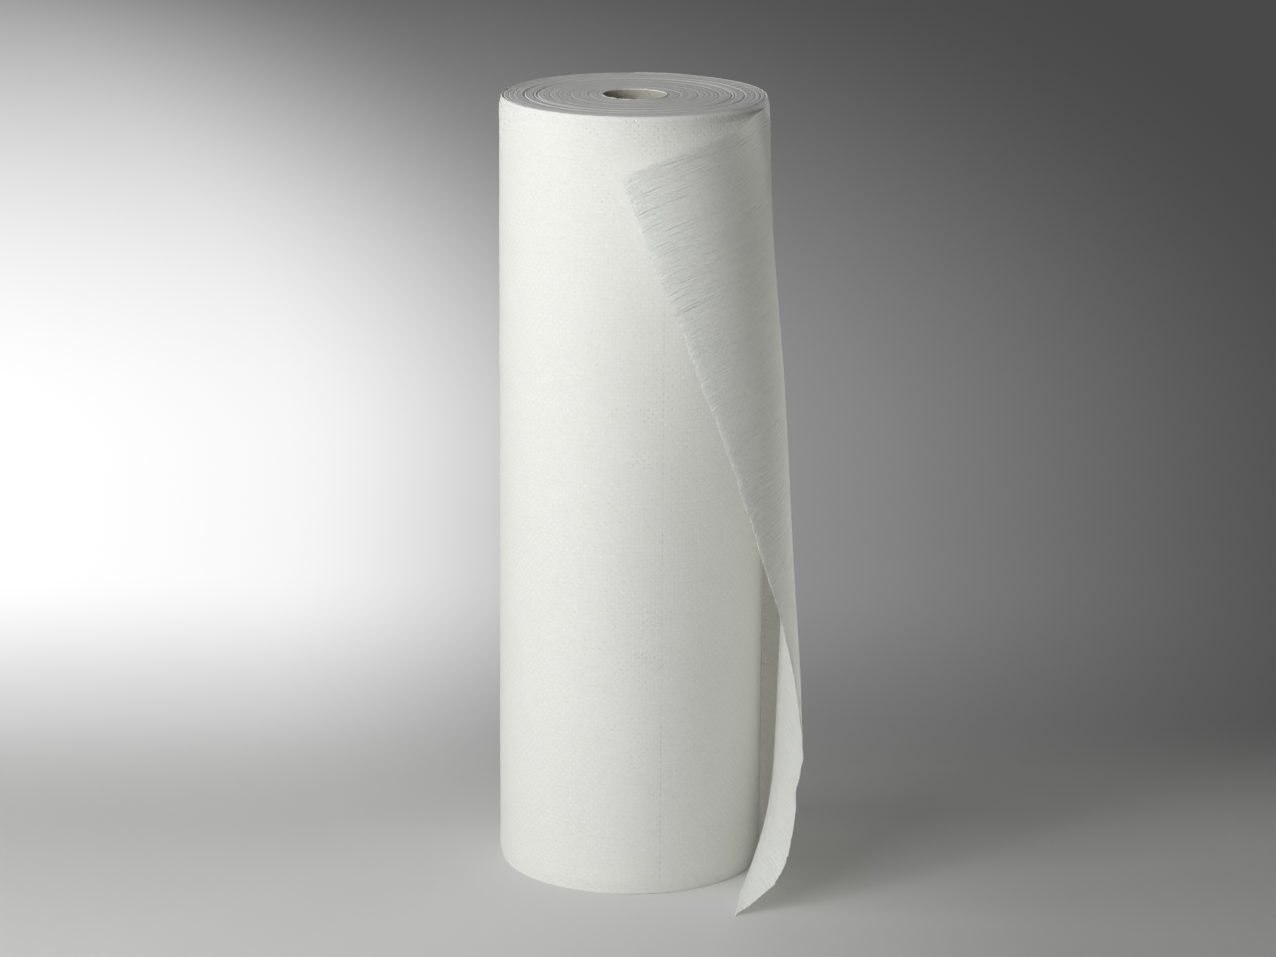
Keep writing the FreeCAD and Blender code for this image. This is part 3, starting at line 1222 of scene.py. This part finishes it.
    def outward(self, points: np.ndarray) -> np.ndarray:
        """Outward normal at each point, level along the bottom edge.

        Args:
            points: The grid of points.

        Returns:
            Unit normals.
        """
        normal = np.cross(np.gradient(points, axis=1), np.gradient(points, axis=0))
        normal[:, 0, 2] = 0.0
        return normal / np.linalg.norm(normal, axis=-1, keepdims=True)


def rest_of_unit(first: np.ndarray, second: np.ndarray) -> np.ndarray:
    """What is left of a unit length once its other two components are known."""
    return np.sqrt(np.maximum(1 - first ** 2 - second ** 2, 0.0))


def run_up(slopes: np.ndarray, step: float | np.ndarray) -> np.ndarray:
    """Add slopes up along the last direction, from zero.

    Args:
        slopes: The slopes.
        step: The distance between them.

    Returns:
        The sums, as many as the slopes.
    """
    middle = (slopes[..., 1:] + slopes[..., :-1]) / 2 * step
    return np.concatenate([np.zeros_like(slopes[..., :1]), np.cumsum(middle, axis=-1)], axis=-1)


# ---------------------------------------------------------------- the core

@dataclass
class CoreTube:
    """The cardboard core: a spiral-wound tube with a ragged pale lining at its rims.

    The depths of the board's cut end and of the lining's crest are a mean and a spread.
    """

    length: float
    outer_radius: float
    wall: float = 2.0 * MM
    lining: float = 0.8 * MM
    lining_foot: float = 0.6 * MM
    board_sunk: tuple[float, float] = (0.9 * MM, 0.1 * MM)
    board_lengths: tuple[float, ...] = (9.0 * MM, 4.0 * MM)
    crest: tuple[float, float] = (-0.2 * MM, -0.3 * MM)
    crest_lengths: tuple[float, ...] = (7.0 * MM, 2.4 * MM, 1.1 * MM)
    lean: float = 0.15 * MM
    lean_lengths: tuple[float, ...] = (11.0 * MM, 3.0 * MM)
    join: float = 0.25
    floor_gap: float = 0.05 * MM
    columns: int = 240
    rows: int = 26

    def build(self) -> bpy.types.Object:
        """Build the piece.

        Returns:
            The core.
        """
        patches = [self.tube()]
        for top in (True, False):
            patches += [self.board_end(top), self.ragged_lining(top)]
        return patch_mesh("core_tube_board", patches, crease=50.0)

    def angles(self) -> np.ndarray:
        """Angles round the tube, first and last the same."""
        return np.linspace(0, math.tau, self.columns + 1)

    def lathe(self, profile: Sequence[tuple[float | np.ndarray, float | np.ndarray]],
              finish: int, flip: bool) -> Patch:
        """Turn a profile round the axis.

        Args:
            profile: Radius and height of each ring; arrays vary round the tube.
            finish: Number of the material.
            flip: Whether the faces look the other way.

        Returns:
            The rings as one grid.
        """
        turned = self.angles()
        rings = [around(np.broadcast_to(radius, turned.shape), turned,
                        np.broadcast_to(height, turned.shape)) for radius, height in profile]
        points = np.stack(rings)
        along = self.outer_radius * turned[None, :]
        drop = np.array([np.mean(radius) + np.mean(height) for radius, height in profile])
        return Patch(points, np.stack(np.broadcast_arrays(along, drop[:, None]), axis=-1),
                     finish, flip)

    @property
    def bore(self) -> float:
        """Radius of the bore."""
        return self.outer_radius - self.wall

    def level(self, depth: float | np.ndarray, top: bool) -> float | np.ndarray:
        """Height at a depth below an end, and never under the floor."""
        return self.length - depth if top else np.maximum(depth, self.floor_gap)

    def tube(self) -> Patch:
        """Build the wall of the bore.

        Returns:
            The wall between the feet of the two linings.
        """
        heights = np.linspace(self.lining_foot, self.length - self.lining_foot, self.rows)
        return self.lathe([(self.bore, height) for height in heights], 0, flip=True)

    def board_end(self, top: bool) -> Patch:
        """The cut end of the board, a little sunk behind its lining.

        Args:
            top: Whether it is the upper end.

        Returns:
            The ring between the lining and the paper.
        """
        wave = ripple(self.angles() * self.bore, self.board_lengths, seed=31 + top)
        wave[-1] = wave[0]
        mean, spread = self.board_sunk
        sunk = mean + spread * wave
        rings = ((self.outer_radius, 4 * MM), (self.outer_radius, 0.8 * MM),
                 (self.outer_radius - 0.3 * MM, sunk * 0.8), (self.bore + self.lining, sunk),
                 (self.bore + self.lining * 0.7, sunk + 0.6 * MM))
        return self.lathe([(radius, self.level(depth, top)) for radius, depth in rings], 0,
                          flip=not top)

    def ragged_lining(self, top: bool) -> Patch:
        """The lining paper's torn rim, which stands up here and there.

        Args:
            top: Whether it is the upper end.

        Returns:
            The rim as a thin band round the bore.
        """
        turned = self.angles()
        rough = ripple(turned * self.bore, self.crest_lengths, seed=41 + top)
        sway = ripple(turned * self.bore, self.lean_lengths, seed=51 + top)
        for wave in (rough, sway):
            for away in (turned, math.tau - turned):
                joined = smooth_step(0, self.join, away)
                wave[:] = wave * joined + wave[0] * (1 - joined)
        mean, spread = self.crest
        crest, lean = mean + spread * rough, self.lean * sway
        rings = ((self.bore, self.lining_foot),
                 (self.bore + lean * 0.5, crest * 0.5 + 0.25 * MM),
                 (self.bore + 0.12 * MM + lean, crest),
                 (self.bore + self.lining * 0.75 + lean, crest + 0.06 * MM),
                 (self.bore + self.lining, crest * 0.4 + 0.45 * MM),
                 (self.bore + self.lining, 1.2 * MM))
        return self.lathe([(radius, self.level(depth, top)) for radius, depth in rings], 1,
                          flip=top)


# ---------------------------------------------------------------- studio

@dataclass(frozen=True)
class SoftBox:
    """A square area light that looks at the roll."""

    name: str
    place: tuple[float, float, float]
    size: float
    power: float
    colour: Colour = (1.0, 1.0, 1.0)

    def hang(self, target: Vector) -> None:
        """Put the light in the scene.

        Args:
            target: What it looks at.
        """
        lamp = bpy.data.lights.new(self.name, "AREA")
        lamp.shape = "SQUARE"
        lamp.size = self.size
        lamp.energy = self.power
        lamp.color = self.colour
        holder = bpy.data.objects.new(self.name, lamp)
        holder.location = self.place
        holder.rotation_euler = (target - Vector(self.place)).to_track_quat("-Z", "Y").to_euler()
        bpy.context.scene.collection.objects.link(holder)


@dataclass(frozen=True)
class Glow:
    """The backdrop's soft glow from the left, painted on the studio paper.

    Places are metres across the stage, and metres up the backdrop; a stretch of floor counts
    as lower backdrop, by the given slant. Low down, a painted shadow darkens the glow.
    """

    least: float = 0.066
    core: tuple[float, float, float] = (0.432, -0.286, 0.058)
    halo: tuple[float, float, float] = (0.542, -0.653, 0.683)
    upright: float = 0.8
    slant: float = 0.27
    high: float = 0.047
    high_fade: float = 4.3
    high_slide: float = 1.67
    # Painted shadow: the heights up the backdrop over which it fades out, and the share of the
    # glow left under it.
    low: tuple[float, float] = (-0.175, -0.033)
    shadow_share: float = 0.55
    blend: tuple[float, float] = (0.02, 0.30)

    def strength(self, tree: Tree, place: bpy.types.bpy_prop_collection
                 ) -> bpy.types.NodeSocket:
        """Work out the brightness of the backdrop.

        Args:
            tree: The material's tree.
            place: The place on the stage: across, back and up.

        Returns:
            The brightness, where 1 is white.
        """
        behind = tree.math("SUBTRACT", place[1], self.upright)
        up = tree.math("MULTIPLY_ADD", behind, self.slant, place[2])
        above = tree.math("MAXIMUM", tree.math("SUBTRACT", up, self.high), 0.0)
        above = tree.math("MULTIPLY", above, above)
        across = tree.math("MULTIPLY_ADD", above, self.high_slide, place[0])
        parts = [tree.ease(across, start, end, size, 0.0)
                 for size, start, end in (self.core, self.halo)]
        fade = tree.math("MULTIPLY_ADD", above, -self.high_fade, 1.0)
        # Painted shadow: the glow is darkened low down, for the roll's soft shadow on the floor
        # and backdrop.
        painted_shadow = tree.ease(up, *self.low, self.shadow_share, 1.0)
        glow = tree.product(tree.math("ADD", *parts), fade, painted_shadow)
        return tree.math("ADD", glow, self.least)


@dataclass(frozen=True)
class LongLens:
    """The camera: a long lens, a little above the roll, looking down at it.

    Angles are in degrees, focal length and sensor in millimetres.
    """

    place: tuple[float, float, float] = (0.0, -2.624, 0.941)
    yaw: float = 0.08
    pitch: float = 14.72
    roll: float = 0.383
    focal: float = 119.62
    sensor: float = 36.0
    clip: tuple[float, float] = (0.1, 50.0)

    def set_up(self) -> None:
        """Put the camera in the scene and make it the scene's own."""
        yaw, pitch, roll = map(math.radians, (self.yaw, self.pitch, self.roll))
        forward = Vector((math.sin(yaw) * math.cos(pitch), math.cos(yaw) * math.cos(pitch),
                          -math.sin(pitch)))
        level = Vector((math.cos(yaw), -math.sin(yaw), 0.0))
        upward = level.cross(forward)
        right = math.cos(roll) * level + math.sin(roll) * upward
        above = -math.sin(roll) * level + math.cos(roll) * upward
        lens = bpy.data.cameras.new("camera")
        lens.lens, lens.sensor_width, lens.sensor_fit = self.focal, self.sensor, "HORIZONTAL"
        lens.clip_start, lens.clip_end = self.clip
        camera = bpy.data.objects.new("camera", lens)
        turn = Matrix((right, above, -forward)).transposed().to_4x4()
        camera.matrix_world = Matrix.Translation(self.place) @ turn
        bpy.context.scene.collection.objects.link(camera)
        bpy.context.scene.camera = camera


@dataclass
class Studio:
    """Pale floor, swept backdrop, lights and camera."""

    boxes: tuple[SoftBox, ...] = (
        SoftBox("key", (-1.31, -1.10, 1.08), 0.7, 8.2),
        SoftBox("near_key", (-0.60, -1.04, 0.59), 0.6, 6.9),
        SoftBox("left_side", (-1.62, -0.29, 1.20), 0.7, 5.0),
        SoftBox("right_fill", (1.76, -0.71, 0.13), 0.24, 3.3),
        SoftBox("overhead", (0.56, -0.33, 2.03), 1.0, 1.9),
        SoftBox("back_fill", (1.22, 1.45, 0.13), 0.24, 9.5, (1.0, 0.99, 0.94)),
    )
    target: tuple[float, float, float] = (0.0, 0.0, 0.25)
    fill: float = 0.01
    room: float = 0.6
    floor_colour: Colour = (0.75, 0.755, 0.74)
    # Painted shade on the floor towards the right: where it starts and ends across the stage, and
    # the colour's factor on either side.
    painted_side_shade: Ramp = (0.03, 0.30, 1.0, 0.78)
    width: float = 7.0
    floor_rows: tuple[float, ...] = (-4.0, -1.0, 0.0)
    columns: int = 29
    bend_rows: int = 25
    bend_start: float = 0.30
    bend_radius: float = 0.50
    top: float = 2.4
    glow: Glow = field(default_factory=Glow)
    lens: LongLens = field(default_factory=LongLens)

    def build(self) -> None:
        """Put up the floor, the lights, the world and the camera."""
        for box in self.boxes:
            box.hang(Vector(self.target))
        self.sweep()
        self.world()
        self.lens.set_up()

    def sweep(self) -> None:
        """Build the floor that sweeps up into the backdrop."""
        bend = np.linspace(0, math.pi / 2, self.bend_rows)
        depth = np.concatenate([self.floor_rows,
                                self.bend_start + self.bend_radius * np.sin(bend),
                                [self.bend_start + self.bend_radius]])
        height = np.concatenate([np.zeros(len(self.floor_rows)),
                                 self.bend_radius * (1 - np.cos(bend)), [self.top]])
        across = np.linspace(-self.width / 2, self.width / 2, self.columns)
        points = np.stack(np.broadcast_arrays(across[None, :], depth[:, None],
                                              height[:, None]), axis=-1).copy()
        patch = Patch(points, points[..., :2].copy(), flip=True)
        stage = patch_mesh("studio_sweep", [patch])
        stage.data.materials.append(self.sweep_material())
        stage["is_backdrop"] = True

    def sweep_material(self) -> bpy.types.Material:
        """Build the studio paper: a pale floor with painted shade towards the right, whose
        backdrop carries a soft round glow.

        Returns:
            The material, which shows nothing from behind and lets the lamps behind the
            backdrop shine through it.
        """
        material, tree = new_material("studio_paper")
        place = tree.split(tree.add("ShaderNodeTexCoord").outputs["Object"])
        rays = tree.add("ShaderNodeLightPath").outputs
        seen = tree.math("ADD", rays["Is Camera Ray"],
                         tree.math("ADD", rays["Is Glossy Ray"], rays["Is Transmission Ray"]))
        blend = tree.ease(place[1], *self.glow.blend)
        # The floor's colour is darkened towards the right: painted shade for the lamps' light
        # falling off and the roll's soft shadow there.
        floor_shade = tree.ease(place[0], *self.painted_side_shade)
        paper = tree.add("ShaderNodeBsdfDiffuse",
                         {"Color": tree.shade(self.floor_colour, floor_shade)}).outputs[0]
        shine = tree.add("ShaderNodeEmission",
                         {"Strength": self.glow.strength(tree, place)}).outputs[0]
        front = tree.mix(tree.math("MULTIPLY", blend, tree.math("MINIMUM", seen, 1.0)),
                         paper, shine)
        behind = tree.add("ShaderNodeNewGeometry").outputs["Backfacing"]
        passing = tree.math("MULTIPLY", blend, rays["Is Shadow Ray"])
        clear = tree.add("ShaderNodeBsdfTransparent").outputs[0]
        shown = tree.mix(tree.math("MAXIMUM", behind, passing), front, clear)
        tree.add("ShaderNodeOutputMaterial", {"Surface": shown})
        return material

    def world(self) -> None:
        """Light the room evenly and show a pale grey where no stage is."""
        world = bpy.data.worlds.new("studio_room")
        bpy.context.scene.world = world
        world.use_nodes = True
        world.node_tree.nodes.clear()
        tree = Tree(world.node_tree)
        seen = tree.add("ShaderNodeLightPath").outputs["Is Camera Ray"]
        strength = tree.ease(seen, 0.0, 1.0, self.fill, self.room)
        glow = tree.add("ShaderNodeBackground", {"Color": (1.0, 1.0, 1.0, 1.0),
                                                 "Strength": strength})
        tree.add("ShaderNodeOutputWorld", {"Surface": glow.outputs[0]})


# ---------------------------------------------------------------- assembly

def corners() -> list[list[float]]:
    """Lowest and highest corner of the shown object, as plain lists."""
    return [list(corner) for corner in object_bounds()]


def main() -> None:
    """Build the roll on its frame."""
    logging.basicConfig(level=logging.INFO, format="%(name)s: %(message)s")
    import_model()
    low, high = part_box("core_tube")
    web = Web(width=high.z - low.z, core_radius=high.x)
    effects = Effects()
    wound = Tissue(Face.OUTER).material(effects)
    # The sheet's dimples get a painted highlight of the given strength, besides their relief.
    sheet = [Tissue(face, colour=(0.92, 0.93, 0.925), dimple_depth=0.45, dimple_painted_highlight=1.075,
                    crepe_depth=1.5, thin=0.34).material(effects) for face in Face]
    ends = EndGrain().material(effects)
    board = CoreBoard(Board.WALL, (0.60, 0.59, 0.50)).material(effects)
    lining = CoreBoard(Board.LINING, (0.95, 0.95, 0.93)).material(effects)
    finish_piece(WoundRoll(web).build(), ["paper_roll"], [wound, ends])
    finish_piece(LooseTurn(web).build(), ["paper_roll"], sheet)
    core = CoreTube(web.width, web.core_radius)
    finish_piece(core.build(), ["core_tube"], [board, lining])
    Studio().build()
    bpy.context.scene.view_settings.view_transform = "Standard"


if __name__ == "__main__":
    main()
